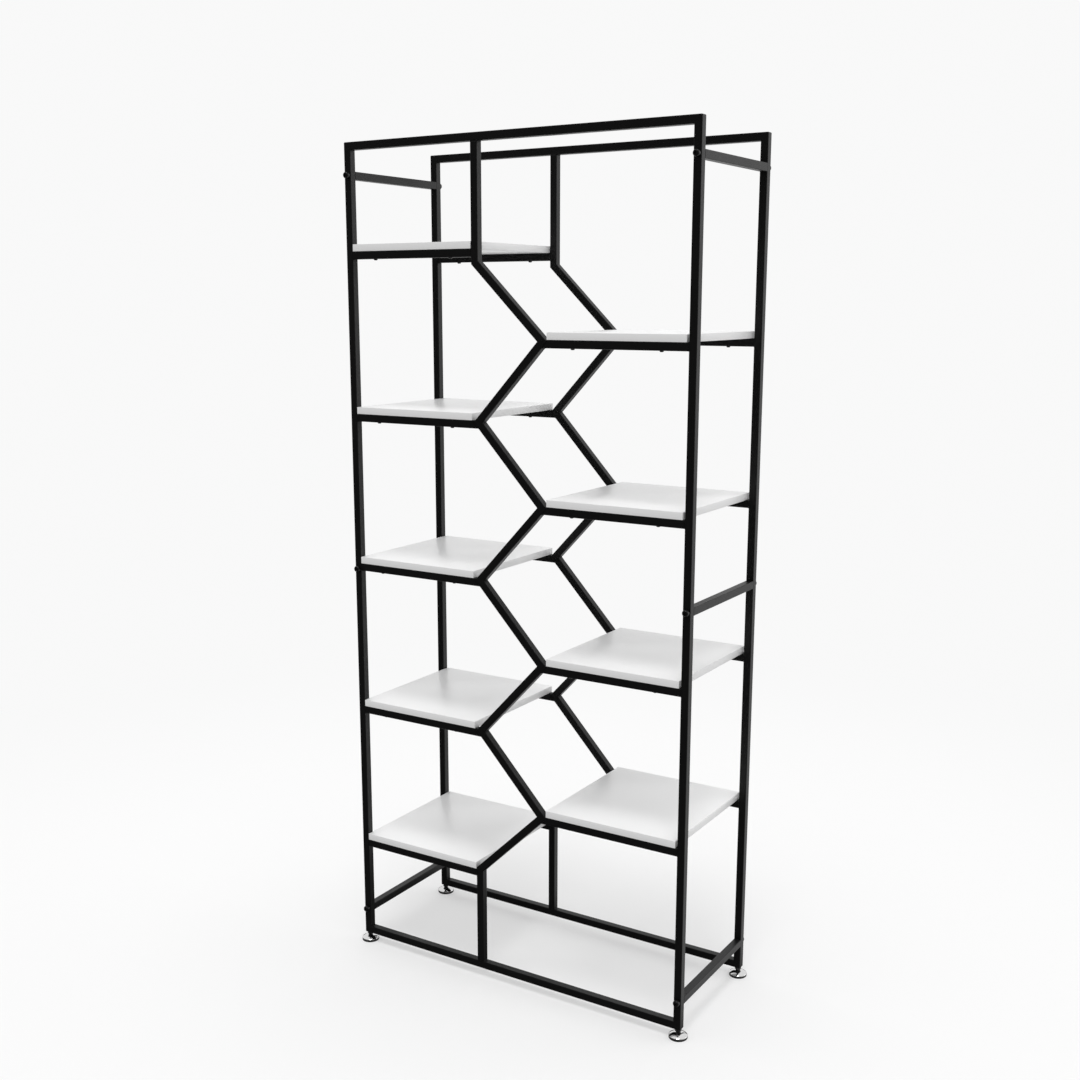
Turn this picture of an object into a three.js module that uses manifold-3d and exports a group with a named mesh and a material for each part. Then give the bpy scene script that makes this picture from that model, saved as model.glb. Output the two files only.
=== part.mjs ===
// Zigzag bookshelf: two welded frames of square steel tube, each with a tube that zigzags
// from the top rail to the bottom rail, carry nine boards in two staggered columns.
// Six crossbars are bolted between the frames, and four screw feet stand under the posts.
// Millimetres, +Z up, +X to the right seen from the front, +Y to the back.
// The origin is on the floor, under the middle of the bookshelf.

import * as THREE from "three";
import { mergeVertices } from "three/addons/utils/BufferGeometryUtils.js";
import Module from "manifold-3d";

const wasm = await Module();
wasm.setup();

// Overall sizes of the two frames
const width = 900;
const depth = 350;
const frameHeight = 1953;

// Square steel tube of the frames and crossbars
const tube = 18;
const tubeWall = 1.2;
const tubeEdgeRadius = 1.5;
const frameCornerRadius = 2.5;

// Shelf rails: the centre line of the lowest one above the underside of a frame, and of the
// highest one below its top. Left and right levels alternate between them, evenly spaced.
const lowestLevel = 240;
const highestLevelFromTop = 265;
const leftBoardCount = 5;
const rightBoardCount = leftBoardCount - 1;

// The highest and the lowest left rail stand a little above their even places
const highestRailLift = 13;
const lowestRailLift = 8;

// Zigzag tube: its centre line turns at this offset to either side of the frame's middle, and
// its upright stubs stand one step further out, on the left. Turns are given from the centre
// line of the rail beside them: the two at the stubs have heights of their own.
const turnOffset = 84;
const stubStepWidth = 6;
const turnHeightAboveRail = 5;
const highestTurnBelowRail = 21;
const lowestTurnAboveRail = 9;

// Boards: a left board fits between the post and the stub with these gaps
const boardThickness = 16;
const boardEaseRadius = 0.6;
const leftBoardGap = 0.5;
const boardToStubGap = 1.5;
const rightBoardGap = 5;

// Board screws, two through each rail: their holes in the rails and pilot holes in the boards
const screwFromBoardEnd = 60;
const screwHoleRadius = 2.2;
const pilotRadius = 1.2;
const pilotDepth = 11;

// Crossbars, from the underside of a frame to their centre lines; the middle pair is a little
// lower than the middle left rail
const bottomCrossbarLevel = 67;
const topCrossbarFromTop = 73;
const middleCrossbarBelowRail = 5;
const crossbarInsertLength = 12;

// Bolts that hold the crossbars
const boltRadius = 3;
const boltLength = 30;
const boltHeadRadius = 8.5;
const boltHeadHeight = 4.5;
const boltRimHeight = 2.2;
const boltSocketAcross = 5;
const boltSocketDepth = 2.6;

// Screw feet: a turning stem in a domed base
const footHeight = 22;
const weldNutHeight = 9;
const stemRadius = 4;
const stemInPost = 34;
const stemNeckRadius = 5.5;
const stemHexAcross = 13;
const stemHexHeight = 6;
const stemSeatDepth = 6;
const basePadRadius = 20;
const basePadHeight = 2;
const baseRadius = 21.5;
const baseRimRadius = 1;
const baseWallTop = 9;
const baseDomeTop = 13;
const baseCollarRadius = 9;

// Clearances
const weldGap = 0.3;
const seatGap = 0.3;
const boreClearance = 0.3;
const cutOverrun = 5;

// Facets round a circle, and steps in a shorter curve
const hexagonFacets = 6;
const screwHoleFacets = 6;
const boreFacets = 8;
const boltFacets = 12;
const stemFacets = 16;
const baseFacets = 28;
const edgeSteps = 2;
const tubeCornerSteps = 2;
const frameCornerSteps = 3;
const boltCrownSteps = 3;
const baseDomeSteps = 4;

// Worked out from the sizes above
const halfTube = tube / 2;
const innerTube = tube - 2 * tubeWall;
const postX = width / 2 - halfTube;
const postY = depth / 2 - halfTube;
const crossbarLength = depth - 2 * tube;
const levelPitch = (frameHeight - highestLevelFromTop - lowestLevel) / (2 * (leftBoardCount - 1));
const leftLevels = levelsFrom(lowestLevel, leftBoardCount);
leftLevels[0] += highestRailLift;
leftLevels[leftBoardCount - 1] += lowestRailLift;
const rightLevels = levelsFrom(lowestLevel + levelPitch, rightBoardCount);
const middleCrossbarLevel = leftLevels[(leftBoardCount - 1) / 2] - middleCrossbarBelowRail;
const crossbarLevels = {
  top: frameHeight - topCrossbarFromTop,
  middle: middleCrossbarLevel,
  bottom: bottomCrossbarLevel,
};
const stubX = -turnOffset - stubStepWidth;
const leftBoardStart = -width / 2 + tube + leftBoardGap;
const boardWidth = stubX - halfTube - boardToStubGap - leftBoardStart;
const rightBoardStart = width / 2 - tube - rightBoardGap - boardWidth;
const sides = { left: -1, right: 1 };
const ends = { front: -1, back: 1 };

// Levels of one column of rails, the top one first
function levelsFrom(lowest, count) {
  const levels = [];
  for (let step = count - 1; step >= 0; step -= 1) {
    levels.push(lowest + 2 * levelPitch * step);
  }
  return levels;
}

// Materials
const blackSteel = new THREE.MeshStandardMaterial({ color: 0x1b1b1d, roughness: 0.55, metalness: 0.35 });
const blackBolt = new THREE.MeshStandardMaterial({ color: 0x121214, roughness: 0.4, metalness: 0.6 });
const whiteBoard = new THREE.MeshStandardMaterial({ color: 0xf2f2f0, roughness: 0.45, metalness: 0 });
const chrome = new THREE.MeshStandardMaterial({ color: 0xd9dadd, roughness: 0.12, metalness: 1 });
const darkZinc = new THREE.MeshStandardMaterial({ color: 0x2a2a2c, roughness: 0.4, metalness: 0.8 });

// A closed geometry as a manifold solid
function toSolid(geometry) {
  const plain = geometry.clone();
  plain.deleteAttribute("normal");
  plain.deleteAttribute("uv");
  const merged = mergeVertices(plain);
  const index = merged.index.array;
  const triangles = [];
  for (let corner = 0; corner < index.length; corner += 3) {
    const [a, b, c] = [index[corner], index[corner + 1], index[corner + 2]];
    if (a !== b && b !== c && c !== a) {
      triangles.push(a, b, c);
    }
  }
  const mesh = new wasm.Mesh({
    numProp: 3,
    vertProperties: Float32Array.from(merged.attributes.position.array),
    triVerts: Uint32Array.from(triangles),
  });
  return new wasm.Manifold(mesh);
}

// A manifold solid as a geometry with flat facets
function toGeometry(solid) {
  const mesh = solid.getMesh();
  const geometry = new THREE.BufferGeometry();
  geometry.setAttribute("position", new THREE.BufferAttribute(mesh.vertProperties, 3));
  geometry.setIndex(new THREE.BufferAttribute(mesh.triVerts, 1));
  const flat = geometry.toNonIndexed();
  flat.computeVertexNormals();
  return flat;
}

function cutAll(solid, cutters) {
  return cutters.reduce((rest, cutter) => rest.subtract(cutter), solid);
}

function named(name, geometry, material) {
  const mesh = new THREE.Mesh(geometry, material);
  mesh.name = name;
  return mesh;
}

// A rectangle from its centre and size, with round corners where a radius is given
function rectangle(centreX, centreY, sizeX, sizeY, radius, Kind = THREE.Shape) {
  const outline = new Kind();
  const [left, right] = [centreX - sizeX / 2, centreX + sizeX / 2];
  const [low, high] = [centreY - sizeY / 2, centreY + sizeY / 2];
  if (radius === 0) {
    outline.moveTo(left, low);
    outline.lineTo(right, low);
    outline.lineTo(right, high);
    outline.lineTo(left, high);
    outline.closePath();
    return outline;
  }
  outline.moveTo(left + radius, low);
  outline.lineTo(right - radius, low);
  outline.absarc(right - radius, low + radius, radius, -Math.PI / 2, 0, false);
  outline.lineTo(right, high - radius);
  outline.absarc(right - radius, high - radius, radius, 0, Math.PI / 2, false);
  outline.lineTo(left + radius, high);
  outline.absarc(left + radius, high - radius, radius, Math.PI / 2, Math.PI, false);
  outline.lineTo(left, low + radius);
  outline.absarc(left + radius, low + radius, radius, Math.PI, Math.PI * 1.5, false);
  return outline;
}

// An outline in the X-Z plane, extruded along Y to both sides of y = 0, edges rounded
function extrudeAlongY(outline, thickness, edgeRadius) {
  const geometry = new THREE.ExtrudeGeometry(outline, {
    depth: thickness - 2 * edgeRadius,
    bevelEnabled: edgeRadius > 0,
    bevelThickness: edgeRadius,
    bevelSize: edgeRadius,
    bevelOffset: -edgeRadius,
    bevelSegments: edgeSteps,
    curveSegments: frameCornerSteps,
  });
  geometry.translate(0, 0, edgeRadius - thickness / 2);
  geometry.rotateX(Math.PI / 2);
  return geometry;
}

// A straight bar of the tube's outer section along X, from x = 0
function solidBarAlongX(length) {
  const section = rectangle(0, 0, tube, tube, tubeEdgeRadius);
  const geometry = new THREE.ExtrudeGeometry(section, {
    depth: length,
    bevelEnabled: false,
    curveSegments: tubeCornerSteps,
  });
  geometry.rotateY(Math.PI / 2);
  return toSolid(geometry);
}

function box(sizeX, sizeY, sizeZ) {
  return toSolid(new THREE.BoxGeometry(sizeX, sizeY, sizeZ));
}

// A regular prism about the origin, along Z or along Y, whose flats lie at the radius
function prism(radius, length, facets, alongY = false) {
  const cornerRadius = radius / Math.cos(Math.PI / facets);
  const geometry = new THREE.CylinderGeometry(cornerRadius, cornerRadius, length, facets);
  if (!alongY) {
    geometry.rotateX(Math.PI / 2);
  }
  return toSolid(geometry);
}

// Frame coordinates below: x from the middle of the frame, z from its underside

// Outer frame: two posts, top rail and bottom rail, mitred and ground flush at the corners.
// A weld nut for the foot fills the lower end of each post.
function outerFrameGeometry() {
  const middle = frameHeight / 2;
  const outline = rectangle(0, middle, width, frameHeight, frameCornerRadius);
  outline.holes.push(rectangle(0, middle, width - 2 * tube, frameHeight - 2 * tube, 0, THREE.Path));
  const bars = toSolid(extrudeAlongY(outline, tube, tubeEdgeRadius));

  const inside = rectangle(0, middle, width - 2 * tubeWall, frameHeight - 2 * tubeWall, 0);
  const insideSpan = [width - 2 * (tube - tubeWall), frameHeight - 2 * (tube - tubeWall)];
  inside.holes.push(rectangle(0, middle, ...insideSpan, 0, THREE.Path));
  let hollow = toSolid(extrudeAlongY(inside, innerTube, 0));

  const nut = box(tube, tube, weldNutHeight);
  const stemBoreLength = 2 * (weldNutHeight + tubeWall + cutOverrun);
  const stemBore = prism(stemRadius + boreClearance, stemBoreLength, boreFacets);
  const boltHole = prism(boltRadius + boreClearance, tube + 2 * cutOverrun, boreFacets, true);
  const holes = [];
  for (const side of Object.values(sides)) {
    hollow = hollow.subtract(nut.translate([side * postX, 0, tubeWall + weldNutHeight / 2]));
    holes.push(stemBore.translate([side * postX, 0, 0]));
    for (const level of Object.values(crossbarLevels)) {
      holes.push(boltHole.translate([side * postX, 0, level]));
    }
  }
  return toGeometry(cutAll(bars, [hollow, ...holes]));
}

// Centre line of the zigzag tube, from the top rail to the bottom rail
function zigzagPath() {
  const path = [[stubX, frameHeight - tube]];
  path.push([stubX, leftLevels[0] - highestTurnBelowRail]);
  rightLevels.forEach((level, order) => {
    if (order > 0) {
      path.push([-turnOffset, leftLevels[order] + turnHeightAboveRail]);
    }
    path.push([turnOffset, level + turnHeightAboveRail]);
  });
  path.push([stubX, leftLevels[leftBoardCount - 1] + lowestTurnAboveRail]);
  path.push([stubX, tube]);
  return path.map(([x, z]) => new THREE.Vector2(x, z));
}

// Outline of a strip with mitred turns round a path, drawn out past both ends by overrun
function stripOutline(path, halfWidth, overrun) {
  const leftEdge = [];
  const rightEdge = [];
  path.forEach((point, order) => {
    const before = order > 0 ? path[order - 1] : null;
    const after = order < path.length - 1 ? path[order + 1] : null;
    const into = before ? point.clone().sub(before).normalize() : after.clone().sub(point).normalize();
    const outOf = after ? after.clone().sub(point).normalize() : into.clone();
    const mitre = into.clone().add(outOf).normalize();
    const normal = new THREE.Vector2(-mitre.y, mitre.x);
    const reach = halfWidth / mitre.dot(into);
    const centre = point.clone();
    if (!before) {
      centre.addScaledVector(into, -overrun);
    }
    if (!after) {
      centre.addScaledVector(outOf, overrun);
    }
    leftEdge.push(centre.clone().addScaledVector(normal, reach));
    rightEdge.push(centre.clone().addScaledVector(normal, -reach));
  });
  return new THREE.Shape([...leftEdge.reverse(), ...rightEdge]);
}

function zigzagGeometry() {
  const path = zigzagPath();
  const bar = toSolid(extrudeAlongY(stripOutline(path, halfTube, 0), tube, tubeEdgeRadius));
  const hollow = toSolid(extrudeAlongY(stripOutline(path, innerTube / 2, cutOverrun), innerTube, 0));
  return toGeometry(bar.subtract(hollow));
}

// Shelf rail between a post and a turn of the zigzag tube. Its end at the turn is cut to the
// shape of the zigzag, so rails of one column can differ.
function shelfRailGeometry(startX, endX, level, boardStart, zigzagCutter) {
  const length = endX - startX;
  const bar = solidBarAlongX(length).translate([startX, 0, 0]);
  const hollow = box(length + 2 * cutOverrun, innerTube, innerTube).translate([(startX + endX) / 2, 0, 0]);
  const screwHole = prism(screwHoleRadius, tube + 2 * cutOverrun, screwHoleFacets);
  const holes = screwPlaces(boardStart).map((x) => screwHole.translate([x, 0, 0]));
  const rail = cutAll(bar, [hollow, ...holes, zigzagCutter.translate([0, 0, -level])]);
  return toGeometry(rail.translate([-startX, 0, 0]));
}

function screwPlaces(boardStart) {
  return [boardStart + screwFromBoardEnd, boardStart + boardWidth - screwFromBoardEnd];
}

// One welded frame, with its underside at z = 0 and its middle plane at y = 0
function weldedFrame(end) {
  const frame = new THREE.Group();
  frame.add(named(`${end}_outer_frame`, outerFrameGeometry(), blackSteel));
  frame.add(named(`${end}_zigzag_tube`, zigzagGeometry(), blackSteel));
  const seat = stripOutline(zigzagPath(), halfTube + weldGap, cutOverrun);
  const zigzagCutter = toSolid(extrudeAlongY(seat, tube + 2 * cutOverrun, 0));
  const inner = width / 2 - tube;
  leftLevels.forEach((level, order) => {
    const geometry = shelfRailGeometry(-inner, -turnOffset, level, leftBoardStart, zigzagCutter);
    const rail = named(`${end}_left_rail_${order + 1}`, geometry, blackSteel);
    rail.position.set(-inner, 0, level);
    frame.add(rail);
  });
  rightLevels.forEach((level, order) => {
    const geometry = shelfRailGeometry(turnOffset, inner, level, rightBoardStart, zigzagCutter);
    const rail = named(`${end}_right_rail_${order + 1}`, geometry, blackSteel);
    rail.position.set(turnOffset, 0, level);
    frame.add(rail);
  });
  frame.position.y = ends[end] * postY;
  return frame;
}

// Board centred on x = 0 and y = 0 with its underside at z = 0, blind pilot holes below
function boardGeometry() {
  const outline = rectangle(0, 0, boardWidth, depth, 0);
  const slab = new THREE.ExtrudeGeometry(outline, {
    depth: boardThickness - 2 * boardEaseRadius,
    bevelThickness: boardEaseRadius,
    bevelSize: boardEaseRadius,
    bevelOffset: -boardEaseRadius,
    bevelSegments: 1,
  });
  slab.translate(0, 0, boardEaseRadius);
  const pilot = prism(pilotRadius, 2 * pilotDepth, screwHoleFacets);
  const pilots = [];
  for (const end of Object.values(ends)) {
    for (const x of screwPlaces(-boardWidth / 2)) {
      pilots.push(pilot.translate([x, end * postY, 0]));
    }
  }
  return toGeometry(cutAll(toSolid(slab), pilots));
}

function addBoards(group) {
  const geometry = boardGeometry();
  const columns = [
    { side: "left", start: leftBoardStart, levels: leftLevels },
    { side: "right", start: rightBoardStart, levels: rightLevels },
  ];
  for (const { side, start, levels } of columns) {
    levels.forEach((level, order) => {
      const board = named(`${side}_board_${order + 1}`, geometry, whiteBoard);
      board.position.set(start + boardWidth / 2, 0, level + halfTube);
      group.add(board);
    });
  }
}

// Crossbar along Y, centred on the origin, with a threaded insert closing each end
function crossbarGeometry() {
  const bar = solidBarAlongX(crossbarLength).translate([-crossbarLength / 2, 0, 0]).rotate([0, 0, 90]);
  const hollow = box(innerTube, crossbarLength - 2 * crossbarInsertLength, innerTube);
  const boreLength = crossbarLength + 2 * cutOverrun;
  const bore = prism(boltRadius + boreClearance, boreLength, boreFacets, true);
  return toGeometry(cutAll(bar, [hollow, bore]));
}

// Bolt along Y, with the underside of its head at y = 0 and the head towards -Y
function boltGeometry() {
  const profile = [new THREE.Vector2(0, -boltHeadHeight)];
  const crown = new THREE.EllipseCurve(
    0, -boltRimHeight, boltHeadRadius, boltHeadHeight - boltRimHeight, -Math.PI / 2, 0, false, 0);
  profile.push(...crown.getPoints(boltCrownSteps).slice(1));
  profile.push(new THREE.Vector2(boltHeadRadius, 0));
  profile.push(new THREE.Vector2(boltRadius, 0));
  profile.push(new THREE.Vector2(boltRadius, boltLength));
  profile.push(new THREE.Vector2(0, boltLength));
  const body = toSolid(new THREE.LatheGeometry(profile, boltFacets));
  const socket = prism(boltSocketAcross / 2, 2 * boltSocketDepth, hexagonFacets, true);
  return toGeometry(body.subtract(socket.translate([0, -boltHeadHeight, 0])));
}

function addCrossbars(group) {
  const barGeometry = crossbarGeometry();
  const bolt = boltGeometry();
  for (const [level, z] of Object.entries(crossbarLevels)) {
    for (const [side, sideSign] of Object.entries(sides)) {
      const bar = named(`${level}_${side}_crossbar`, barGeometry, blackSteel);
      bar.position.set(sideSign * postX, 0, z);
      group.add(bar);
      for (const [end, endSign] of Object.entries(ends)) {
        const mesh = named(`bolt_${end}_${level}_${side}`, bolt, blackBolt);
        mesh.position.set(sideSign * postX, endSign * (depth / 2 + seatGap), z);
        mesh.rotation.z = endSign > 0 ? Math.PI : 0;
        group.add(mesh);
      }
    }
  }
}

// Profile turned about Z
function turned(profile, facets) {
  const geometry = new THREE.LatheGeometry(profile, facets);
  geometry.rotateX(Math.PI / 2);
  return geometry;
}

// Domed base of a foot, standing on z = 0: a plated cap over a plastic pad, with a blind seat
// for the lower end of the stem
function footBaseGeometry() {
  const profile = [
    new THREE.Vector2(0, 0),
    new THREE.Vector2(basePadRadius, 0),
    new THREE.Vector2(basePadRadius, basePadHeight),
    new THREE.Vector2(baseRadius - baseRimRadius, basePadHeight),
  ];
  profile.push(new THREE.Vector2(baseRadius, basePadHeight + baseRimRadius));
  const dome = new THREE.CubicBezierCurve(
    new THREE.Vector2(baseRadius, baseWallTop - baseRimRadius),
    new THREE.Vector2(baseRadius, baseWallTop + baseRimRadius),
    new THREE.Vector2(baseRadius - baseCollarRadius / 2, baseDomeTop),
    new THREE.Vector2(baseCollarRadius, baseDomeTop),
  );
  profile.push(...dome.getPoints(baseDomeSteps));
  const seatRadius = stemRadius + boreClearance;
  profile.push(new THREE.Vector2(seatRadius, baseDomeTop));
  profile.push(new THREE.Vector2(seatRadius, baseDomeTop - stemSeatDepth));
  profile.push(new THREE.Vector2(0, baseDomeTop - stemSeatDepth));
  return turned(profile, baseFacets);
}

// Stem of a foot, with z = 0 at the floor: its lower end turns in the base, its hexagon stops
// under the post, and its thread runs up through the weld nut
function footStemGeometry() {
  const hexTop = footHeight - seatGap;
  const hexBottom = hexTop - stemHexHeight;
  const profile = [
    new THREE.Vector2(0, baseDomeTop - stemSeatDepth + seatGap),
    new THREE.Vector2(stemRadius, baseDomeTop - stemSeatDepth + seatGap),
    new THREE.Vector2(stemRadius, baseDomeTop + seatGap),
    new THREE.Vector2(stemNeckRadius, baseDomeTop + seatGap),
    new THREE.Vector2(stemNeckRadius, hexBottom + stemHexHeight / 2),
    new THREE.Vector2(stemRadius, hexBottom + stemHexHeight / 2),
    new THREE.Vector2(stemRadius, footHeight + stemInPost),
    new THREE.Vector2(0, footHeight + stemInPost),
  ];
  const hexagon = prism(stemHexAcross / 2, stemHexHeight, hexagonFacets);
  const shaft = toSolid(turned(profile, stemFacets));
  return toGeometry(shaft.add(hexagon.translate([0, 0, (hexTop + hexBottom) / 2])));
}

function addFeet(group) {
  const base = footBaseGeometry();
  const stem = footStemGeometry();
  for (const [end, endSign] of Object.entries(ends)) {
    for (const [side, sideSign] of Object.entries(sides)) {
      const parts = [
        named(`foot_base_${end}_${side}`, base, chrome),
        named(`foot_stem_${end}_${side}`, stem, darkZinc),
      ];
      for (const part of parts) {
        part.position.set(sideSign * postX, endSign * postY, 0);
        group.add(part);
      }
    }
  }
}

const rack = new THREE.Group();
rack.position.z = footHeight;
for (const end of Object.keys(ends)) {
  rack.add(weldedFrame(end));
}
addCrossbars(rack);
addBoards(rack);

const bookshelf = new THREE.Group();
bookshelf.add(rack);
addFeet(bookshelf);

export default bookshelf;
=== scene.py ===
# %% [markdown]
# Zigzag bookshelf.
# Two flat frames of square steel tube stand one behind the other. In each, a tube zigzags from
# the top rail to the bottom rail, and short rails run from its turns to the posts. Nine white
# boards lie on the rails in two staggered columns. The tubes are already right in the packed
# model, so they stay and get a finish here. The boards, bolts and feet are modelled again with
# the detail that shows from close by.

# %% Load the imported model
import math

import bmesh
import bpy
from mathutils import Matrix, Vector


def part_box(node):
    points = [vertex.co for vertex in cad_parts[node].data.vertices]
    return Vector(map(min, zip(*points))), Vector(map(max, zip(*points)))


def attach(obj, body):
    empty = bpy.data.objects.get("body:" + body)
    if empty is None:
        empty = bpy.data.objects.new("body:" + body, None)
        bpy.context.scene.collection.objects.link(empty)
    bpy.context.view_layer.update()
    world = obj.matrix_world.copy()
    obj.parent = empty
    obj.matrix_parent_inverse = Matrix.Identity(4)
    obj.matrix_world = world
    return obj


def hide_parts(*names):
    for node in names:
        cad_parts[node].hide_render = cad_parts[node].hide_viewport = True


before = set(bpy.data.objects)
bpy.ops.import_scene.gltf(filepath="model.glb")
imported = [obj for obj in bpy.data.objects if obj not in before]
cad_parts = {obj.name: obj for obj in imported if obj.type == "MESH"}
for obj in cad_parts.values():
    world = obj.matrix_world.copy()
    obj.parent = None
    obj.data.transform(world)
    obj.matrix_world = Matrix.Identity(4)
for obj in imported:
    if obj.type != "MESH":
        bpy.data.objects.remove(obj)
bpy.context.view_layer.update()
MM = 0.001

# %% [markdown]
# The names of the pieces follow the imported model: front and back frame, left and right side.
# The boards and rails of a column are numbered from the top. Every tube of the bookshelf is
# square and has the same outside width.

# %% Names and the tube's size
TUBE = 18 * MM
ENDS = ("front", "back")
SIDES = ("left", "right")
LEVELS = ("top", "middle", "bottom")
BOARD_COUNTS = {"left": 5, "right": 4}
SHELVES = [(side, order) for side in SIDES for order in range(1, BOARD_COUNTS[side] + 1)]
FEET = [(end, side) for end in ENDS for side in SIDES]
print(len(SHELVES), "boards on", len(FEET), "feet")

# %% [markdown]
# The camera stands in front of the right end of the bookshelf, a little below its top, and
# looks down on it. Its place and angles were worked out from the straight lines of the frame
# in the photograph. A photograph is often cropped, so its middle isn't where the lens pointed:
# the small shift puts that right without turning the camera.

# %% Camera
CAMERA_PLACE = Vector((1.5997, -2.6181, 1.6193))
LOOKS_DOWN = 0.20525
TURNS_LEFT = 0.56049
PHOTO_SIDE = 1080
FOCAL_PIXELS = 1319.93
LENS_AXIS_PIXEL = (534.68, 575.88)
SENSOR_WIDTH = 36
NEAREST_SEEN = 0.05
FARTHEST_SEEN = 100

camera_data = bpy.data.cameras.new("camera")
camera_data.sensor_width = SENSOR_WIDTH
camera_data.lens = FOCAL_PIXELS * SENSOR_WIDTH / PHOTO_SIDE
camera_data.shift_x = (PHOTO_SIDE / 2 - LENS_AXIS_PIXEL[0]) / PHOTO_SIDE
camera_data.shift_y = (LENS_AXIS_PIXEL[1] - PHOTO_SIDE / 2) / PHOTO_SIDE
camera_data.clip_start = NEAREST_SEEN
camera_data.clip_end = FARTHEST_SEEN
camera = bpy.data.objects.new("camera", camera_data)
camera.location = CAMERA_PLACE
camera.rotation_euler = (math.pi / 2 - LOOKS_DOWN, 0, TURNS_LEFT)
bpy.context.scene.collection.objects.link(camera)
bpy.context.scene.camera = camera
print("lens in mm:", round(camera_data.lens, 2))
print("shift:", round(camera_data.shift_x, 4), round(camera_data.shift_y, 4))

# %% [markdown]
# Materials and the world are made of nodes. A few short helpers add a node, set or link its
# sockets, and return the output that the next node reads, so that the lines further down read
# like the sum that the nodes work out.

# %% Helpers for nodes


def add_node(tree, kind, **settings):
    """A new node; a setting that is one of its inputs goes to the socket, any other to the node."""
    node = tree.nodes.new(kind)
    for name, value in settings.items():
        if name in node.inputs:
            node.inputs[name].default_value = value
        else:
            setattr(node, name, value)
    return node


def feed(tree, sockets, values):
    """Gives each socket its value: a plain number, or another node's output."""
    for socket, value in zip(sockets, values):
        if isinstance(value, (int, float)):
            socket.default_value = value
        else:
            tree.links.new(value, socket)


def math_node(tree, operation, first, second, clamp=False):
    """A Math node between two values."""
    node = add_node(tree, "ShaderNodeMath", operation=operation, use_clamp=clamp)
    feed(tree, node.inputs, (first, second))
    return node.outputs[0]


def ramp(tree, value, start, end):
    """0 where the value is below start, rising smoothly to 1 above end."""
    slope = add_node(tree, "ShaderNodeMapRange", interpolation_type="SMOOTHSTEP")
    sockets = [slope.inputs[name] for name in ("Value", "From Min", "From Max")]
    feed(tree, sockets, (value, start, end))
    return slope.outputs["Result"]


def mix_tones(tree, share, first, second):
    """A mix of two tones."""
    mix = add_node(tree, "ShaderNodeMix", data_type="FLOAT")
    feed(tree, mix.inputs[:1] + mix.inputs[2:4], (share, first, second))
    return mix.outputs[0]


def mix_shaders(tree, share, first, second):
    """A mix of two shaders."""
    mix = tree.nodes.new("ShaderNodeMixShader")
    feed(tree, mix.inputs, (share, first, second))
    return mix.outputs[0]


def glow(tree, tone):
    """A shader that shows one grey tone, whatever light falls on it."""
    emission = add_node(tree, "ShaderNodeEmission", Color=(1, 1, 1, 1))
    feed(tree, [emission.inputs["Strength"]], [tone])
    return emission.outputs[0]


def glossy_rays(tree):
    """1 for rays that come off a glossy surface."""
    return tree.nodes.new("ShaderNodeLightPath").outputs["Is Glossy Ray"]


def shown_rays(tree):
    """1 for rays that show the backdrop: from the camera, off gloss or through glass."""
    rays = tree.nodes.new("ShaderNodeLightPath").outputs
    seen = math_node(tree, "ADD", rays["Is Camera Ray"], rays["Is Glossy Ray"], clamp=True)
    return math_node(tree, "ADD", seen, rays["Is Transmission Ray"], clamp=True)


# %% [markdown]
# The room is a pale studio. What the camera sees behind the bookshelf is one even, almost white
# tone, and the light comes softly from all round, a little more from above. A real studio is
# dark on the photographer's side, and gloss shows it: the tubes' front faces mirror that side
# and stay near black, while their right-hand faces mirror the white backdrop and shine grey.
# So a mirrored ray sees the pale backdrop behind the bookshelf and above it, and a dim room in
# front of it. How far back a ray points counts from -1, straight to the front, to 1, straight
# to the back. Between the two values named below, the dim room gives way to the backdrop.

# %% World
BACKDROP_TONE = 0.945
OVERHEAD_LIGHT = 1.05
HORIZON_LIGHT = 0.90
ROOM_TONE = 0.09
ROOM_GIVES_WAY = (-0.45, 0.25)
CEILING_SHARE = 0.5

world = bpy.data.worlds.new("studio")
world.use_nodes = True
bpy.context.scene.world = world
sky = world.node_tree
background = sky.nodes["Background"]
background.inputs["Color"].default_value = (1, 1, 1, 1)
direction = add_node(sky, "ShaderNodeSeparateXYZ")
sky.links.new(sky.nodes.new("ShaderNodeTexCoord").outputs["Generated"], direction.inputs[0])
upward = math_node(sky, "MAXIMUM", direction.outputs["Z"], 0.0)
overhead = math_node(sky, "MULTIPLY", upward, OVERHEAD_LIGHT - HORIZON_LIGHT)
around = math_node(sky, "ADD", overhead, HORIZON_LIGHT)
ceiling = math_node(sky, "MULTIPLY", direction.outputs["Z"], CEILING_SHARE)
backness = math_node(sky, "ADD", direction.outputs["Y"], ceiling)
mirrored = mix_tones(sky, ramp(sky, backness, *ROOM_GIVES_WAY), ROOM_TONE, BACKDROP_TONE)
backdrop = mix_tones(sky, glossy_rays(sky), BACKDROP_TONE, mirrored)
sky.links.new(mix_tones(sky, shown_rays(sky), around, backdrop), background.inputs["Strength"])
print("world nodes:", len(sky.nodes))

# %% [markdown]
# One soft lamp high above and in front gives the board tops their light and the floor the thin
# shadows of the bottom rails. A second one, low behind the right end, gives the right-hand
# faces and board ends their brighter tone. Both are sun lamps, because these light the floor
# evenly, and the angle that they take up in the sky sets how soft their shadows are.

# %% Lamps
LAMPS = {
    "overhead_lamp": {"shines_from": (0.10, -0.25, 1.0), "energy": 0.85, "spread": math.radians(16)},
    "side_lamp": {"shines_from": (0.78, 0.60, 0.22), "energy": 0.50, "spread": math.radians(40)},
}
LAMP_DISTANCE = 4

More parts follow.
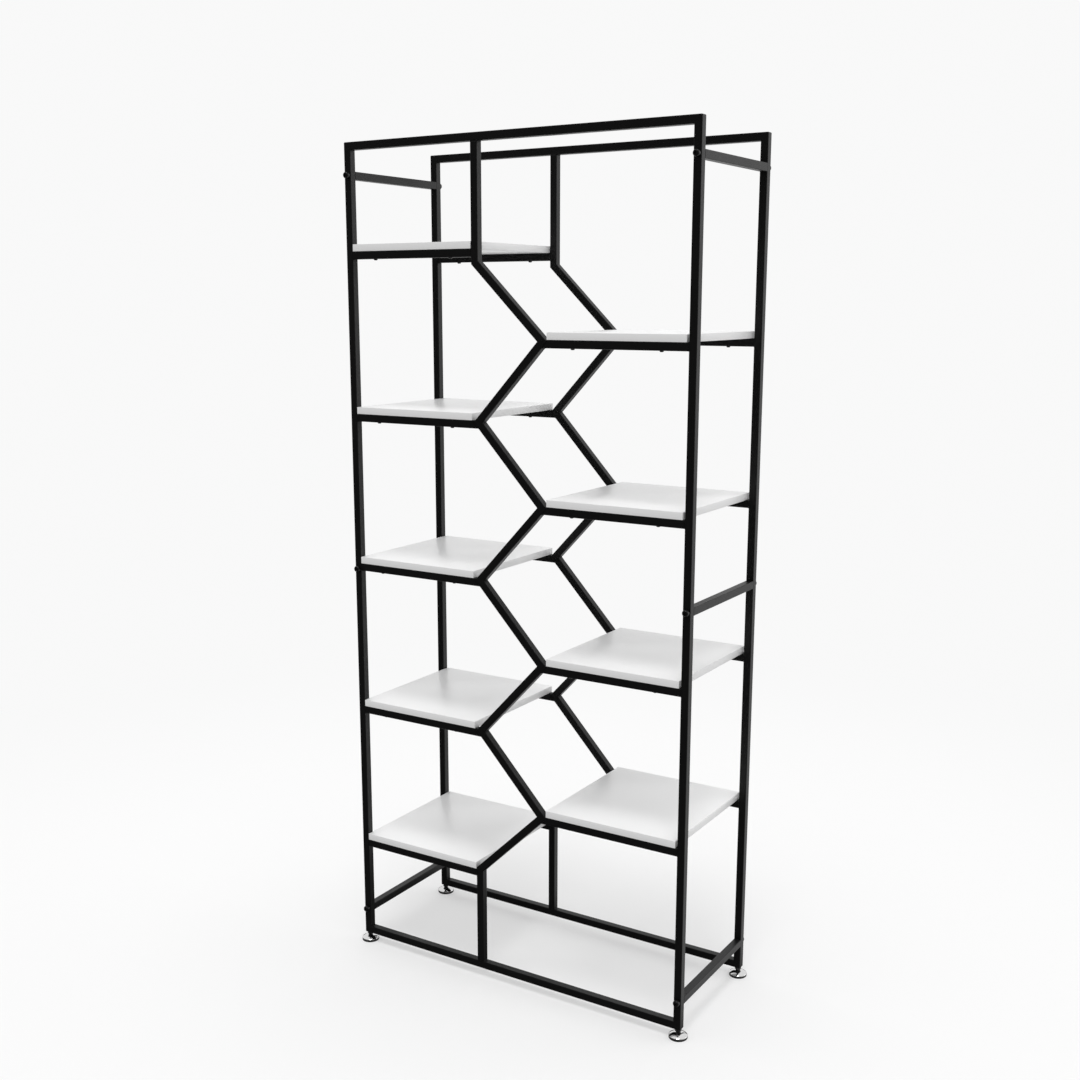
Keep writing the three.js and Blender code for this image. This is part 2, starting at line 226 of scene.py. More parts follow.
for name, lamp in LAMPS.items():
    light = bpy.data.lights.new(name, "SUN")
    light.energy = lamp["energy"]
    light.angle = lamp["spread"]
    lamp_object = bpy.data.objects.new(name, light)
    lamp_object.location = LAMP_DISTANCE * Vector(lamp["shines_from"])
    lamp_object.rotation_euler = lamp_object.location.to_track_quat("Z", "Y").to_euler()
    bpy.context.scene.collection.objects.link(lamp_object)

# %% [markdown]
# The floor is a plain pale disc, large enough to reach the horizon. Part of its tone is its own
# and part is light that falls on it, so it takes the soft shadow of the bookshelf. A few steps
# away it fades into the backdrop's own tone, as a studio's paper sweep does, so that no line
# shows where they meet.

# %% Floor
FLOOR_RADIUS = 40
FLOOR_SIDES = 96
FLOOR_COLOUR = 0.49
FLOOR_OWN_TONE = 0.36
FLOOR_FADES = (0.7, 3.0)

bpy.ops.object.select_all(action="DESELECT")
bpy.ops.mesh.primitive_circle_add(vertices=FLOOR_SIDES, radius=FLOOR_RADIUS, fill_type="NGON")
floor = bpy.context.object
floor.name = "floor"
floor_paint = bpy.data.materials.new("pale_floor")
floor_paint.use_nodes = True
paint = floor_paint.node_tree
paint.nodes.clear()
lit = add_node(paint, "ShaderNodeBsdfDiffuse", Color=(FLOOR_COLOUR, FLOOR_COLOUR, FLOOR_COLOUR, 1))
own = glow(paint, math_node(paint, "MULTIPLY", shown_rays(paint), FLOOR_OWN_TONE))
lit_and_own = paint.nodes.new("ShaderNodeAddShader")
feed(paint, lit_and_own.inputs, (lit.outputs[0], own))
spot = paint.nodes.new("ShaderNodeTexCoord").outputs["Object"]
away = add_node(paint, "ShaderNodeVectorMath", operation="LENGTH")
paint.links.new(spot, away.inputs[0])
fade = math_node(paint, "MULTIPLY", ramp(paint, away.outputs["Value"], *FLOOR_FADES), shown_rays(paint))
faded = mix_shaders(paint, fade, lit_and_own.outputs[0], glow(paint, BACKDROP_TONE))
print("floor radius", FLOOR_RADIUS, "m")

# %% [markdown]
# In gloss the floor is dim in front of the bookshelf and under it, and pale behind it and
# beside its right end, which is where the right-hand faces of the tubes mirror it. The dim part
# is painted shade, set by place and not by light: under the bookshelf it stands for the floor's
# shadow, in front for the dark room. The pairs say where, in metres from the middle of the
# bookshelf, dim turns into pale.

# %% The floor as gloss shows it
PALE_BEHIND = (0.18, 0.36)
PALE_RIGHT = (0.45, 0.50)
PALE_RIGHT_FROM = (-0.28, -0.10)

place = add_node(paint, "ShaderNodeSeparateXYZ")
paint.links.new(spot, place.inputs[0])
behind = ramp(paint, place.outputs["Y"], *PALE_BEHIND)
right_of = ramp(paint, place.outputs["X"], *PALE_RIGHT)
level_with = ramp(paint, place.outputs["Y"], *PALE_RIGHT_FROM)
pale = math_node(paint, "MAXIMUM", behind, math_node(paint, "MULTIPLY", right_of, level_with))
# Painted shade: a glow whose dim parts are set by place, not by the light that reaches the floor.
gloss_tone_with_painted_shade = glow(paint, mix_tones(paint, pale, ROOM_TONE, BACKDROP_TONE))
surface = paint.nodes.new("ShaderNodeOutputMaterial").inputs["Surface"]
paint.links.new(mix_shaders(paint, glossy_rays(paint), faded, gloss_tone_with_painted_shade), surface)
floor.data.materials.append(floor_paint)
print("floor nodes:", len(paint.nodes))

# %% [markdown]
# Every finish starts from the same few nodes: a main shader, a slow cloudiness that varies the
# colour and the gloss a little, and a fine bump. They all read the piece's own Object
# coordinates, which are metres here, so a scale of 1000 gives a grain of about a millimetre.
# What is constant over a surface is set on the shader's own socket.

# %% A helper for finishes


def finish(name, greys, gloss, grain_scale, grain_depth, cloud_scale=9.0, **sockets):
    """A material whose colour varies over the pair greys and its roughness over the pair gloss,
    in slow clouds, under a fine bump of the given grain scale and depth in metres."""
    material = bpy.data.materials.new(name)
    material.use_nodes = True
    tree = material.node_tree
    shader = tree.nodes["Principled BSDF"]
    for socket, value in sockets.items():
        shader.inputs[socket.replace("_", " ")].default_value = value
    place = tree.nodes.new("ShaderNodeTexCoord").outputs["Object"]
    cloud = add_node(tree, "ShaderNodeTexNoise", Scale=cloud_scale, Detail=3.0, Roughness=0.55)
    tree.links.new(place, cloud.inputs["Vector"])
    colour = add_node(tree, "ShaderNodeMix", data_type="RGBA")
    tree.links.new(cloud.outputs["Fac"], colour.inputs[0])
    for socket, grey in zip(colour.inputs[6:8], greys):
        socket.default_value = (grey, grey, grey, 1)
    tree.links.new(colour.outputs[2], shader.inputs["Base Color"])
    shine = add_node(tree, "ShaderNodeMapRange")
    shine_inputs = [shine.inputs[name] for name in ("Value", "To Min", "To Max")]
    feed(tree, shine_inputs, (cloud.outputs["Fac"], *gloss))
    tree.links.new(shine.outputs["Result"], shader.inputs["Roughness"])
    grain = add_node(tree, "ShaderNodeTexNoise", Scale=grain_scale, Detail=2.0, Roughness=0.6)
    tree.links.new(place, grain.inputs["Vector"])
    bump = add_node(tree, "ShaderNodeBump", Strength=1.0, Distance=grain_depth)
    tree.links.new(grain.outputs["Fac"], bump.inputs["Height"])
    tree.links.new(bump.outputs["Normal"], shader.inputs["Normal"])
    return material


# %% [markdown]
# Powder coat is the finish of the whole frame: a matt black plastic film with a faint orange
# peel. It reflects little from the front and more at a slant, which is what makes the
# right-hand faces of the posts read as dark grey.

# %% Powder coat
powder_coat = finish("black_powder_coat", (0.0024, 0.0042), (0.38, 0.48), grain_scale=620.0,
                     grain_depth=0.12 * MM, Specular_IOR_Level=0.27)
print(powder_coat.name)

# %% [markdown]
# The boards are particle board with a white melamine face, which is slightly satin, and a thin
# plastic edge band glued round them. The band is set greyer than the face: partly its own tone,
# partly painted shade for the upright edges, which take less of the light from above.

# %% White melamine and edge band
melamine = finish("white_melamine", (0.82, 0.835), (0.29, 0.33), grain_scale=900.0,
                  grain_depth=0.03 * MM, cloud_scale=4.0)
edge_band_and_shade = finish("white_edge_band", (0.70, 0.715), (0.30, 0.36), grain_scale=500.0,
                   grain_depth=0.02 * MM, cloud_scale=6.0)
print(melamine.name, edge_band_and_shade.name)

# %% [markdown]
# The bolts and screws are blackened steel, a little shinier than the powder coat. The foot caps
# are polished chrome on a black plastic pad, and the stems dark zinc.

# %% Small metal parts
black_screw_steel = finish("black_screw_steel", (0.002, 0.004), (0.29, 0.34), grain_scale=900.0,
                           grain_depth=0.04 * MM, cloud_scale=60.0, Specular_IOR_Level=0.28)
foot_chrome = finish("foot_chrome", (0.68, 0.74), (0.05, 0.10), grain_scale=260.0,
                     grain_depth=0.03 * MM, cloud_scale=70.0, Metallic=1.0)
pad_plastic = finish("pad_plastic", (0.012, 0.018), (0.5, 0.6), grain_scale=800.0,
                     grain_depth=0.05 * MM, cloud_scale=50.0)
dark_zinc = finish("dark_zinc", (0.05, 0.08), (0.28, 0.42), grain_scale=700.0,
                   grain_depth=0.03 * MM, cloud_scale=80.0, Metallic=1.0)
print(black_screw_steel.name, foot_chrome.name, pad_plastic.name, dark_zinc.name)

# %% [markdown]
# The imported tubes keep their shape. Each gets the powder coat in place of its plain colour.

# %% Coat the tubes
TUBE_NAMES = ("outer_frame", "zigzag_tube", "rail", "crossbar")

tubes = [node for name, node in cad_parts.items() if any(word in name for word in TUBE_NAMES)]
for tube in tubes:
    for material_slot in tube.material_slots:
        material_slot.material = powder_coat
print("coated", len(tubes), "tubes,", sum(len(tube.material_slots) for tube in tubes), "slots")

# %% [markdown]
# A few helpers for modelling in edit mode. Operators act on what is selected, so each step
# first says which faces or edges it means, by their place or by the way they face.

# %% Helpers for modelling
MERGE_DISTANCE = 0.001 * MM


def start_edit():
    """Enters edit mode with all of the active piece selected."""
    bpy.ops.object.mode_set(mode="EDIT")
    bpy.ops.mesh.select_all(action="SELECT")


def end_edit():
    bpy.ops.object.mode_set(mode="OBJECT")


def make_active(*pieces):
    """Selects the pieces alone; the last one is active."""
    bpy.ops.object.select_all(action="DESELECT")
    for piece in pieces:
        piece.select_set(True)
    bpy.context.view_layer.objects.active = pieces[-1]


def select_faces(is_meant):
    """Selects the faces of the piece in edit mode for which is_meant(centre, normal) is true."""
    bpy.ops.mesh.select_mode(type="FACE")
    bpy.ops.mesh.select_all(action="DESELECT")
    mesh = bmesh.from_edit_mesh(bpy.context.edit_object.data)
    for face in mesh.faces:
        if is_meant(face.calc_center_median(), face.normal):
            face.select_set(True)
    bmesh.update_edit_mesh(bpy.context.edit_object.data)


def tidy_mesh():
    """Merges doubles and turns every face outwards, in edit mode."""
    bpy.ops.mesh.select_all(action="SELECT")
    bpy.ops.mesh.remove_doubles(threshold=MERGE_DISTANCE)
    bpy.ops.mesh.normals_make_consistent(inside=False)


def settle(piece, angle=35):
    """Ends a piece: its place put into its mesh, and smooth shading but for edges sharper than
    the angle in degrees."""
    make_active(piece)
    bpy.ops.object.transform_apply(location=True, rotation=True, scale=True)
    bpy.ops.object.shade_smooth_by_angle(angle=math.radians(angle))


def combine(piece, other, operation):
    """Cuts the other piece out of the piece, or keeps only what both share."""
    meeting = piece.modifiers.new("meeting", "BOOLEAN")
    meeting.operation = operation
    meeting.solver = "EXACT"
    meeting.object = other
    make_active(piece)
    bpy.ops.object.modifier_apply(modifier=meeting.name)
    discard(other)


def copy_to(pattern, name, place):
    """A copy of a piece with its own mesh, moved and turned by a matrix."""
    copy = pattern.copy()
    copy.data = pattern.data.copy()
    copy.name = name
    copy.data.name = name
    copy.data.transform(place)
    bpy.context.scene.collection.objects.link(copy)
    return copy


def discard(piece):
    bpy.data.objects.remove(piece)


# %% [markdown]
# Round parts are drawn up ring by ring, as a potter would: a flat disc is extruded upwards and
# each new ring scaled to its radius. The list of radius and height pairs is the outline that a
# lathe would cut. A spin would do too, but this leaves no seam to close.

# %% Turned parts


def turned(name, outline, sides):
    """A round piece about the Z axis through (radius, height) pairs, closed at both ends."""
    bpy.ops.object.select_all(action="DESELECT")
    radius, height = outline[0]
    bpy.ops.mesh.primitive_circle_add(vertices=sides, radius=radius, fill_type="NGON",
                                      location=(0, 0, height))
    piece = bpy.context.object
    piece.name = name
    start_edit()
    for next_radius, next_height in outline[1:]:
        bpy.ops.mesh.extrude_region_move(TRANSFORM_OT_translate={"value": (0, 0, next_height - height)})
        share = next_radius / radius
        bpy.ops.transform.resize(value=(share, share, 1), center_override=(0, 0, next_height))
        radius, height = next_radius, next_height
    tidy_mesh()
    end_edit()
    settle(piece)
    return piece


def arc(centre, radii, start, end, steps):
    """Points of an ellipse's arc as (radius, height) pairs, angles in degrees."""
    points = []
    for step in range(steps + 1):
        angle = math.radians(start + (end - start) * step / steps)
        points.append((centre[0] + radii[0] * math.cos(angle), centre[1] + radii[1] * math.sin(angle)))
    return points


def hexagon(across, height, middle):
    """A hexagonal prism about the Z axis, across its flats, with its middle at a height."""
    bpy.ops.object.select_all(action="DESELECT")
    bpy.ops.mesh.primitive_cylinder_add(vertices=6, radius=across / math.sqrt(3), depth=height,
                                        location=(0, 0, middle))
    return bpy.context.object


# %% [markdown]
# A board is a slab with slightly eased edges. A fine groove runs round its top and bottom, one
# millimetre in, where the edge band meets the melamine face. Three insets make it: one reaches
# the end of the band, one sinks a little and one rises again. A Bevel modifier could ease the
# edges too, but the operator leaves real faces to inset at once. What lies outside the groove
# is edge band.

# %% Boards
BAND = 1.0 * MM
GROOVE_WIDTH = 0.25 * MM
GROOVE_DEPTH = 0.15 * MM
BOARD_EASE = 0.7 * MM
NEAR_MIDDLE = 10 * MM
LEVEL_NORMAL = 0.99


def is_near_middle(centre):
    """True for a face whose centre is near the middle of its own board, in local coordinates."""
    return abs(centre.x) < NEAR_MIDDLE and abs(centre.y) < NEAR_MIDDLE


def build_board(name, low, high):
    """A board that fills the box between two corners."""
    middle = (low + high) / 2
    bpy.ops.object.select_all(action="DESELECT")
    bpy.ops.mesh.primitive_cube_add(size=1, location=middle)
    board = bpy.context.object
    board.name = name
    board.data.materials.append(melamine)
    board.data.materials.append(edge_band_and_shade)
    start_edit()
    bpy.ops.transform.resize(value=high - low, center_override=middle)
    bpy.ops.mesh.bevel(offset=BOARD_EASE, segments=3, affect="EDGES", profile=0.5)
    board.active_material_index = 1
    bpy.ops.mesh.select_all(action="SELECT")
    bpy.ops.object.material_slot_assign()
    for facing in (1, -1):
        select_faces(lambda centre, normal: normal.z * facing > LEVEL_NORMAL and is_near_middle(centre))
        bpy.ops.mesh.inset(thickness=BAND - BOARD_EASE)
        bpy.ops.mesh.inset(thickness=GROOVE_WIDTH, depth=-GROOVE_DEPTH)
        bpy.ops.mesh.inset(thickness=GROOVE_WIDTH, depth=GROOVE_DEPTH)
        board.active_material_index = 0
        bpy.ops.object.material_slot_assign()
    tidy_mesh()
    end_edit()
    settle(board)
    return board


for side, order in SHELVES:
    node = f"{side}_board_{order}"
    board = build_board(f"{side}_white_board_{order}", *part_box(node))
    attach(board, "rack")
    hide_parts(node)
print("boards:", len(SHELVES), "of", len(board.data.polygons), "faces each")

# %% [markdown]
# Under each rail sit the heads of the two screws that hold its board. They are low pan heads
# with a cross recess. The head is turned from its outline, and two crossed bars, narrower at
# their upper end, cut the recess. The shank runs up through the rail into the board.

# %% A board screw
SCREW_HEAD_RADIUS = 4.4 * MM
SCREW_HEAD_HEIGHT = 2.9 * MM
SCREW_CROWN_FLAT = 1.6 * MM
SCREW_RIM = 1.1 * MM
SCREW_SHANK_RADIUS = 1.9 * MM
SCREW_LENGTH = 27 * MM
SCREW_POINT_LENGTH = 4 * MM
SCREW_POINT_RADIUS = 0.3 * MM
RECESS_WIDTH = 1.0 * MM
RECESS_SPAN = 4.4 * MM
RECESS_DEPTH = 1.6 * MM
RECESS_TAPER = 0.6
UPWARD_NORMAL = 0.9


def build_screw():
    """A board screw about the Z axis, its head below z = 0 and its shank above."""
    crown = arc((SCREW_CROWN_FLAT, -SCREW_RIM),
                (SCREW_HEAD_RADIUS - SCREW_CROWN_FLAT, SCREW_HEAD_HEIGHT - SCREW_RIM), -90, 0, steps=5)
    shank = [(SCREW_HEAD_RADIUS, 0), (SCREW_SHANK_RADIUS, 0),
             (SCREW_SHANK_RADIUS, SCREW_LENGTH - SCREW_POINT_LENGTH), (SCREW_POINT_RADIUS, SCREW_LENGTH)]
    screw = turned("board_screw", [*crown, *shank], sides=24)
    for span, width in ((RECESS_WIDTH, RECESS_SPAN), (RECESS_SPAN, RECESS_WIDTH)):
        crown_middle = (0, 0, -SCREW_HEAD_HEIGHT)
        bpy.ops.object.select_all(action="DESELECT")
        bpy.ops.mesh.primitive_cube_add(size=1, location=crown_middle)
        bar = bpy.context.object
        start_edit()
        bpy.ops.transform.resize(value=(span, width, 2 * RECESS_DEPTH), center_override=crown_middle)
        select_faces(lambda centre, normal: normal.z > UPWARD_NORMAL)
        bpy.ops.transform.resize(value=(RECESS_TAPER, RECESS_TAPER, 1), center_override=(0, 0, 0))
        end_edit()
        combine(screw, bar, "DIFFERENCE")
        settle(screw)
    screw.data.materials.append(black_screw_steel)
    return screw


screw = build_screw()
print("board screw of", len(screw.data.polygons), "faces")

# %% [markdown]
# The screws sit at the same distance from both ends of every board, in the middle of the rail.
# No two screws of a real bookshelf end at the same angle, so each copy is turned a little
# further than the one before.

# %% Screws under the boards
SCREW_FROM_BOARD_END = 60 * MM
TURN_PER_SCREW = math.radians(37)

screw_count = 0
for end in ENDS:
    for side, order in SHELVES:
        rail_low, rail_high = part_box(f"{end}_{side}_rail_{order}")
        board_low, board_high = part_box(f"{side}_board_{order}")
        depth_place = (rail_low.y + rail_high.y) / 2
        two_places = (board_low.x + SCREW_FROM_BOARD_END, board_high.x - SCREW_FROM_BOARD_END)
        for number, x in enumerate(two_places, 1):
            turn = Matrix.Rotation(TURN_PER_SCREW * screw_count, 4, "Z")
            place = Matrix.Translation((x, depth_place, board_low.z - TUBE)) @ turn
            copy = copy_to(screw, f"board_screw_{end}_{side}_{order}_{number}", place)
            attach(copy, "rack")
            screw_count += 1
print("board screws:", screw_count)
discard(screw)

# %% [markdown]
# The crossbars are held by black bolts with a hexagon socket, whose tall domed heads stand out
# from the front and back of the posts. A bolt is turned like a screw, its head's crown as an arc
# over a straight rim. A hexagonal prism cuts the socket. A sphere cut in half would be quicker,
# but its crown would be too round, and it would have no rim.

# %% Crossbar bolts
BOLT_HEAD_RADIUS = 7.6 * MM
BOLT_HEAD_HEIGHT = 10.0 * MM
BOLT_CROWN_FLAT = 3.4 * MM
BOLT_RIM = 5.0 * MM
BOLT_EDGE = 0.3 * MM
BOLT_SHANK_RADIUS = 3 * MM
BOLT_SHANK_LENGTH = 30 * MM
SOCKET_ACROSS = 5 * MM
SOCKET_DEPTH = 2.6 * MM


def build_bolt():
    """A bolt about the Z axis, its head below z = 0 and its shank above."""
    crown = arc((BOLT_CROWN_FLAT, -BOLT_RIM),
                (BOLT_HEAD_RADIUS - BOLT_CROWN_FLAT, BOLT_HEAD_HEIGHT - BOLT_RIM), -90, 0, steps=10)
    shank = [(BOLT_HEAD_RADIUS, -BOLT_EDGE), (BOLT_HEAD_RADIUS - BOLT_EDGE, 0),
             (BOLT_SHANK_RADIUS, 0), (BOLT_SHANK_RADIUS, BOLT_SHANK_LENGTH)]
    bolt = turned("crossbar_bolt", [*crown, *shank], sides=48)
    combine(bolt, hexagon(SOCKET_ACROSS, 2 * SOCKET_DEPTH, -BOLT_HEAD_HEIGHT), "DIFFERENCE")
    settle(bolt)
    bolt.data.materials.append(black_screw_steel)
    return bolt


bolt = build_bolt()
for end in ENDS:
    frame_low, frame_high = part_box(f"{end}_outer_frame")
    post_face, inwards = (frame_low.y, 1) if end == "front" else (frame_high.y, -1)
    for level in LEVELS:
        for side in SIDES:
            node = f"bolt_{end}_{level}_{side}"
            low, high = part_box(node)
            place = Matrix.Translation(((low.x + high.x) / 2, post_face, (low.z + high.z) / 2))
            place = place @ Matrix.Rotation(-inwards * math.pi / 2, 4, "X")
            copy = copy_to(bolt, f"crossbar_{node}", place)
            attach(copy, "rack")
            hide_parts(node)
print("crossbar bolts of", len(bolt.data.polygons), "faces each")
discard(bolt)

# %% [markdown]
# Each foot is a polished cap pressed from sheet, over a black plastic pad that stands on the
# floor. The cap has a short upright wall, a rounded shoulder and a low cone, slightly bulged,
# that rises to a collar round the stem. The dark line round the foot is partly the pad and partly
# painted shade: the pad shows below the cap as tall as that line, which also holds the cap's
# contact shadow. Both are turned. A thin sheet could be modelled with its inside, but the pad
# hides that.

# %% Foot caps and pads
CAP_RADIUS = 21.5 * MM
# The pad shows below the cap up to this height; part of that dark band is painted shade for the cap's
# contact shadow.
CAP_BOTTOM = 4.4 * MM
CAP_LIP = 0.6 * MM
CAP_SHOULDER = 5.9 * MM
SHOULDER_RADII = (1.4 * MM, 1.3 * MM)
SHOULDER_ENDS_AT = 56
CAP_TOP = 13.0 * MM
CAP_BULGE = 0.9 * MM
COLLAR_RADIUS = 7.6 * MM
COLLAR_RIM = 1.2 * MM
STEM_BORE = 4.3 * MM
BORE_CHAMFER = 0.4 * MM
STEM_SEAT = 7.0 * MM
PAD_RADIUS = 21.3 * MM
PAD_HEIGHT = 5.2 * MM
PAD_LIP = 0.8 * MM
FOOT_SIDES = 72


def build_cap():
    """The polished cap, about the Z axis, with the floor at z = 0."""
    lip = arc((CAP_RADIUS - CAP_LIP, CAP_BOTTOM + CAP_LIP), (CAP_LIP, CAP_LIP), -90, 0, steps=3)
    shoulder_width, shoulder_rise = SHOULDER_RADII
    shoulder = arc((CAP_RADIUS - shoulder_width, CAP_SHOULDER), (shoulder_width, shoulder_rise),
                   0, SHOULDER_ENDS_AT, steps=5)
    start_radius, start_height = shoulder[-1]
    cone, steps = [], 8
    for step in range(1, steps + 1):
        share = step / steps
        bulge = CAP_BULGE * math.sin(share * math.pi)
        cone.append((start_radius + (COLLAR_RADIUS - start_radius) * share,
                     start_height + (CAP_TOP - start_height) * share + bulge))
    collar = [(COLLAR_RADIUS - COLLAR_RIM, CAP_TOP), (STEM_BORE + BORE_CHAMFER, CAP_TOP),
              (STEM_BORE, CAP_TOP - BORE_CHAMFER), (STEM_BORE, STEM_SEAT)]
    cap = turned("foot_cap", [*lip, *shoulder, *cone, *collar], FOOT_SIDES)
    cap.data.materials.append(foot_chrome)
    return cap


def build_pad():
    """The plastic pad under the cap."""
    lip = arc((PAD_RADIUS - PAD_LIP, PAD_LIP), (PAD_LIP, PAD_LIP), -90, 0, steps=4)
    pad = turned("foot_pad", [*lip, (PAD_RADIUS, PAD_HEIGHT)], FOOT_SIDES)
    pad.data.materials.append(pad_plastic)
    return pad


cap, pad = build_cap(), build_pad()
print("cap and pad of", len(cap.data.polygons), "and", len(pad.data.polygons), "faces")

# %% [markdown]
# The stem turns in the cap. Its lower part is a round neck and a hexagon that a spanner turns.
# A real hexagon has its corners turned down by a cone at both ends, so it is made as on a
# lathe: what a hexagonal prism and a turned shape with slanted ends have in common.

# %% Stem necks and hexagons
STEM_RADIUS = 4.0 * MM
NECK_RADIUS = 5.5 * MM
NECK_EDGE = 0.4 * MM
NECK_SUNK = 1 * MM
SEAT_GAP = 0.3 * MM
HEX_ACROSS = 13 * MM
HEX_HEIGHT = 6 * MM
HEX_TOP = 21.7 * MM
HEX_CHAMFER = 0.8 * MM
HEX_BOTTOM = HEX_TOP - HEX_HEIGHT


def build_neck():
    """The round neck and the hexagon above it, as one piece."""
    on_cap = CAP_TOP + SEAT_GAP
    outline = [(STEM_RADIUS, STEM_SEAT + SEAT_GAP), (STEM_RADIUS, on_cap),
               (NECK_RADIUS - NECK_EDGE, on_cap), (NECK_RADIUS, on_cap + NECK_EDGE),
               (NECK_RADIUS, HEX_BOTTOM + NECK_SUNK), (NECK_RADIUS - NECK_SUNK, HEX_BOTTOM + 2 * NECK_SUNK)]
    neck = turned("foot_neck", outline, sides=48)
    nut = hexagon(HEX_ACROSS, HEX_HEIGHT, (HEX_TOP + HEX_BOTTOM) / 2)
    flat, corner = HEX_ACROSS / 2, HEX_ACROSS / math.sqrt(3)
    chamfered = [(flat, HEX_BOTTOM), (corner, HEX_BOTTOM + HEX_CHAMFER),
                 (corner, HEX_TOP - HEX_CHAMFER), (flat, HEX_TOP)]
    combine(nut, turned("hexagon_rounding", chamfered, sides=48), "INTERSECT")
    make_active(nut, neck)
    bpy.ops.object.join()
    settle(neck, angle=25)
    neck.data.materials.append(dark_zinc)
    return neck


neck = build_neck()
print("neck and hexagon of", len(neck.data.polygons), "faces")

# %% [markdown]
# The stem's upper part is a thread that runs up into the post and shows when the foot is let
# down. It is a real helix. A vertex is extruded along the outline of one tooth, downwards from
# root to root, so that the faces look outwards. The Screw modifier turns and lifts that outline,
# one pitch for each turn. Stacked rings would look alike from afar, but wouldn't wind. A plain
# rod fills its middle.

# %% Stem threads
THREAD_PITCH = 1.25 * MM
THREAD_DEPTH = 0.65 * MM
ROOT_RADIUS = STEM_RADIUS - THREAD_DEPTH
TOOTH_OUTLINE = ((ROOT_RADIUS, 0.95), (STEM_RADIUS, 0.55), (STEM_RADIUS, 0.45), (ROOT_RADIUS, 0.05),
                 (ROOT_RADIUS, -0.05))
STEPS_PER_TURN = 20
THREAD_MERGE_DISTANCE = 0.01 * MM
STEM_TOP = 56 * MM
ROD_RADIUS = ROOT_RADIUS + 0.05 * MM
ROD_SUNK = 1 * MM
TIP_LENGTH = 0.6 * MM
TIP_RADIUS = ROOT_RADIUS - 0.5 * MM


def build_tooth():
    """The outline of one tooth, drawn from a vertex; its heights are shares of the pitch."""
    tooth = [Vector((radius, 0, HEX_TOP + share * THREAD_PITCH)) for radius, share in TOOTH_OUTLINE]
    bpy.ops.object.select_all(action="DESELECT")
    bpy.ops.mesh.primitive_plane_add(size=THREAD_PITCH, location=tooth[0])
    thread = bpy.context.object
    thread.name = "foot_thread"
    start_edit()
    bpy.ops.mesh.select_mode(type="VERT")
    bpy.ops.mesh.merge(type="CENTER")
    for start, end in zip(tooth, tooth[1:]):
        bpy.ops.mesh.extrude_vertices_move(TRANSFORM_OT_translate={"value": end - start})
    end_edit()
    bpy.ops.object.transform_apply(location=True, rotation=True, scale=True)
    return thread


def build_thread():
    """The threaded rod above the hexagon."""
    thread = build_tooth()
    winding = thread.modifiers.new("winding", "SCREW")
    winding.axis = "Z"
    winding.angle = 2 * math.pi
    winding.screw_offset = THREAD_PITCH
    winding.iterations = int((STEM_TOP - HEX_TOP) / THREAD_PITCH) - 1
    winding.steps = STEPS_PER_TURN
    winding.render_steps = STEPS_PER_TURN
    winding.use_merge_vertices = True
    winding.merge_threshold = THREAD_MERGE_DISTANCE
    make_active(thread)
    bpy.ops.object.modifier_apply(modifier=winding.name)
    outline = [(ROD_RADIUS, HEX_TOP - ROD_SUNK), (ROD_RADIUS, STEM_TOP - TIP_LENGTH), (TIP_RADIUS, STEM_TOP)]
    rod = turned("thread_rod", outline, sides=24)
    make_active(rod, thread)
    bpy.ops.object.join()
    settle(thread, angle=30)
    thread.data.materials.append(dark_zinc)
    return thread


thread = build_thread()
print("thread of", len(thread.data.polygons), "faces")

# %% [markdown]
# The four feet are copies. The cap and pad ride on the foot's base, which only moves up and
# down. The neck and thread ride on its stem, which also turns.

# %% Set the feet under the posts
for end, side in FEET:
    where = f"{end}_{side}"
    low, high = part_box(f"foot_base_{where}")
    place = Matrix.Translation(((low.x + high.x) / 2, (low.y + high.y) / 2, low.z))
    foot_cap = copy_to(cap, f"foot_cap_{where}", place)
    foot_pad = copy_to(pad, f"foot_pad_{where}", place)
    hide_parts(f"foot_base_{where}")
    foot_neck = copy_to(neck, f"foot_neck_{where}", place)
    foot_thread = copy_to(thread, f"foot_thread_{where}", place)
    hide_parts(f"foot_stem_{where}")
    for piece in (foot_cap, foot_pad):
        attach(piece, f"base_{where}")
    for piece in (foot_neck, foot_thread):
        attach(piece, f"stem_{where}")
for piece in (cap, pad, neck, thread):
    discard(piece)
print("feet:", len(FEET))

# %% [markdown]
# The tubes are welded. Their outer faces are ground flush, but a small bead stays in each inner
# corner, under the coat: below every rail at its post and at its turn of the zigzag, and beside
# the zigzag's upright stubs at the top and bottom rails. A bead is turned with a rippled
# outline, which closes bluntly at both ends, and laid across the tube.

# %% A weld bead
BEAD_RADIUS = 1.7 * MM
BEAD_LENGTH = 14 * MM
BEAD_RIPPLE = 0.18 * MM
RIPPLE_HALF_WAVES = 14
BEAD_TIP_RADIUS = 0.15 * MM
BLUNTNESS = 6
BEAD_STEPS = 28


def build_bead():
    """A rippled bead along Y, through the origin."""
    outline = []
    for step in range(BEAD_STEPS + 1):
        share = 2 * step / BEAD_STEPS - 1
        closing = math.sqrt(max(0.0, 1 - abs(share) ** BLUNTNESS))
        ripple = BEAD_RIPPLE * math.cos(share * RIPPLE_HALF_WAVES / 2 * math.pi)
        outline.append((max(BEAD_TIP_RADIUS, (BEAD_RADIUS + ripple) * closing), share * BEAD_LENGTH / 2))
    bead = turned("weld_bead", outline, sides=14)
    bead.data.transform(Matrix.Rotation(math.pi / 2, 4, "X"))
    bead.data.materials.append(powder_coat)
    return bead


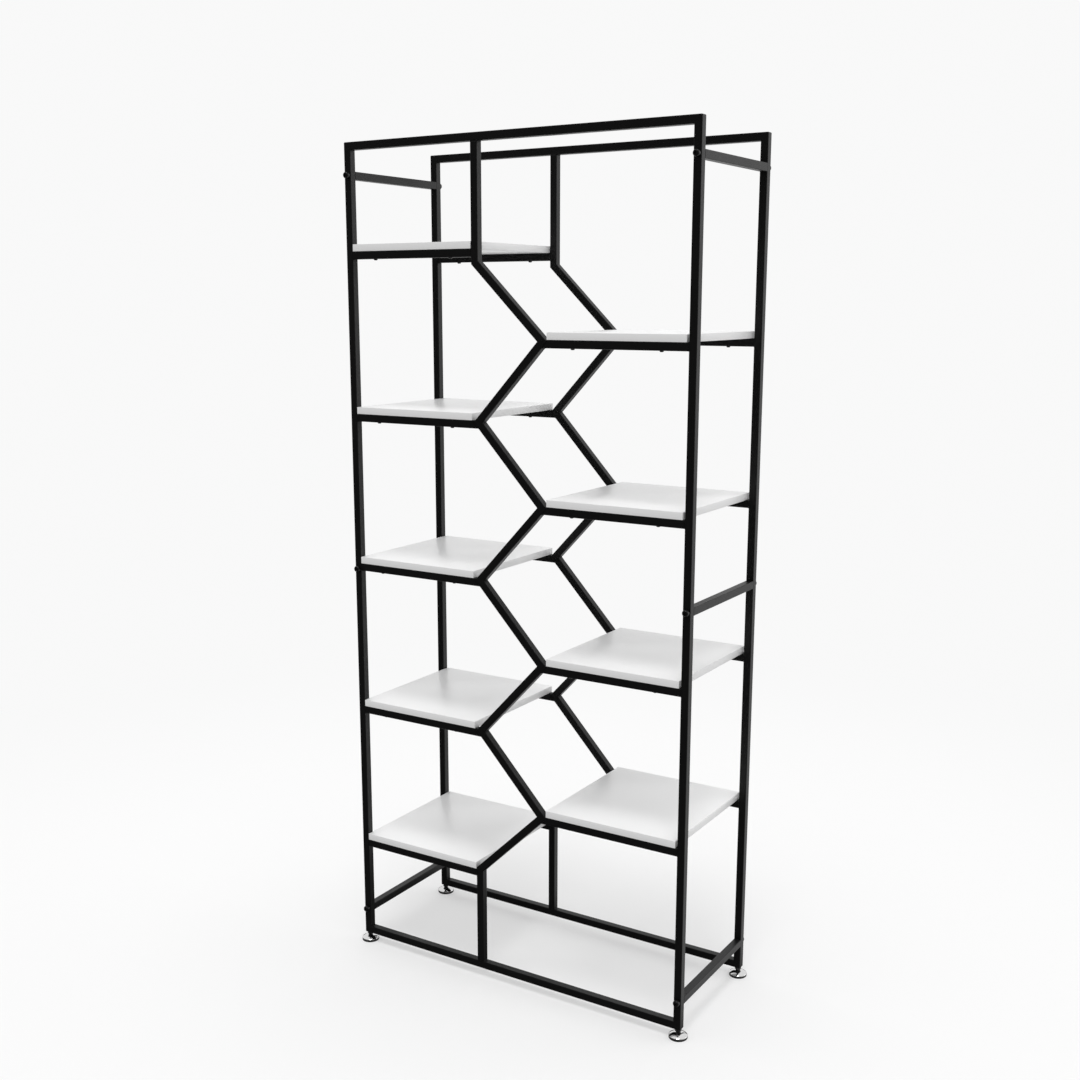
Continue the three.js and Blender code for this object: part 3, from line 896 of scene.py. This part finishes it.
bead = build_bead()
print("weld bead of", len(bead.data.polygons), "faces")

# %% [markdown]
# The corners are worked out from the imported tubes. A turn of the zigzag lies a little above its
# rail's middle, so the bead sits where the lower slope's face meets the rail's underside. The
# highest and lowest turn on the left lie beside a stub, whose face is upright.

# %% Beads in the corners
TURN_OFFSET = 84 * MM
TURN_ABOVE_RAIL = 5 * MM


def rail_middle(side, order):
    """The height of a rail's middle."""
    low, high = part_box(f"front_{side}_rail_{order}")
    return high.z - TUBE / 2


def bead_corners():
    """(name, x, z) of each inner corner of one frame that holds a bead."""
    frame_low, frame_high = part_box("front_outer_frame")
    stub_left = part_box("front_zigzag_tube")[0].x
    slope = math.atan2(rail_middle("right", 1) - rail_middle("left", 2), 2 * TURN_OFFSET)
    drop = TURN_ABOVE_RAIL + TUBE / 2
    slope_face = TURN_OFFSET + TUBE / 2 / math.sin(slope) - drop / math.tan(slope)
    corners = []
    for side, order in SHELVES:
        underside = rail_middle(side, order) - TUBE / 2
        post_x = frame_low.x + TUBE if side == "left" else frame_high.x - TUBE
        corners.append((f"post_{side}_{order}", post_x, underside))
        at_stub = side == "left" and order in (1, BOARD_COUNTS["left"])
        turn_x = stub_left if at_stub else slope_face * (-1 if side == "left" else 1)
        corners.append((f"turn_{side}_{order}", turn_x, underside))
    for level, z in (("top", frame_high.z - TUBE), ("bottom", frame_low.z + TUBE)):
        corners.append((f"stub_{level}_left", stub_left, z))
        corners.append((f"stub_{level}_right", stub_left + TUBE, z))
    return corners


for end in ENDS:
    low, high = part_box(f"{end}_outer_frame")
    for name, x, z in bead_corners():
        copy = copy_to(bead, f"weld_{end}_{name}", Matrix.Translation((x, (low.y + high.y) / 2, z)))
        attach(copy, "rack")
print("weld beads:", len(ENDS) * len(bead_corners()))
discard(bead)

# %% [markdown]
# The picture is shown as it is: the Standard view adds no contrast and no glow of its own.

# %% View
bpy.context.scene.view_settings.view_transform = "Standard"
